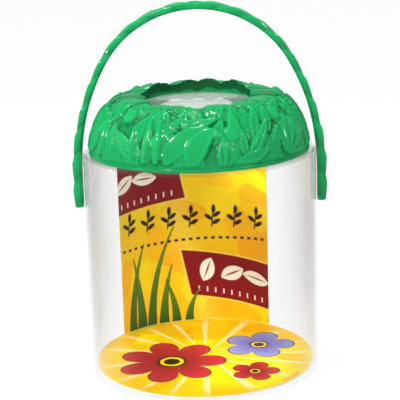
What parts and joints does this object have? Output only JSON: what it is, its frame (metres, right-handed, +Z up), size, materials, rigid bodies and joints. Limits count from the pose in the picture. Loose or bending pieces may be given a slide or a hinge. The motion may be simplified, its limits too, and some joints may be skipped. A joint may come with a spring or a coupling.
{
  "type": "bug catcher jar",
  "caption": "Clear round jar for watching insects, with a leaf-moulded press-on lid, a magnifier set in the lid, a swinging carry handle and printed cards inside.",
  "frame": {"origin": "on the surface that the jar stands on, under the middle of the jar", "axes": "+Z up along the jar's axis, +X along the handle's pegs, +Y towards the back, where the wall card stands"},
  "size_m": [0.1396, 0.127, 0.2044],
  "materials": {
    "clear_plastic": "clear, polished",
    "leaf_green": "glossy, moulded leaves",
    "lens_acrylic": "clear, polished",
    "wall_print": "printed, satin",
    "floor_print": "printed, satin"
  },
  "bodies": {
    "jar": {"jar_body": "clear_plastic", "neck_collar": "clear_plastic", "wrap_card": "wall_print", "base_card": "floor_print"},
    "lid": {"lid_dome": "leaf_green", "magnifier_lens": "lens_acrylic", "lens_retainer": "leaf_green"},
    "handle": {"carry_handle": "leaf_green"}
  },
  "joints": [
    {"name": "handle_swing", "type": "hinge", "parent": "jar", "child": "handle", "pos_m": [0, 0, 0.1195], "axis": [1, 0, 0], "range_deg": [-100, 100]},
    {"name": "lid_lift", "type": "slide", "parent": "jar", "child": "lid", "axis": [0, 0, 1], "range_m": [0, 0.0065]}
  ]
}
